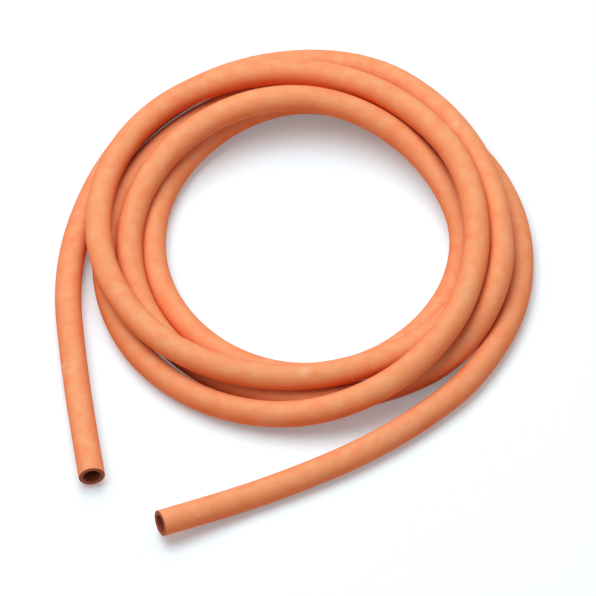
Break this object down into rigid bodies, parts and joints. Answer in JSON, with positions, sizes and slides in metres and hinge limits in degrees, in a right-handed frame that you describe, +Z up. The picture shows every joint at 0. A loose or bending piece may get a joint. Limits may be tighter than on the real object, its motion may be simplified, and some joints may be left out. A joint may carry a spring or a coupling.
{
  "type": "rubber gas tubing",
  "caption": "Length of orange rubber gas tubing with a plain round bore and square-cut ends, lying in a loose coil.",
  "frame": {"origin": "on the floor under the middle of the coil and its two free ends", "axes": "+Z up from the floor, +X to the right and +Y away from the two free ends, as the picture looks at it"},
  "size_m": [0.2178, 0.2664, 0.033],
  "materials": {
    "tubing": "matte"
  },
  "bodies": {
    "root": {"tubing": "tubing"}
  },
  "joints": []
}
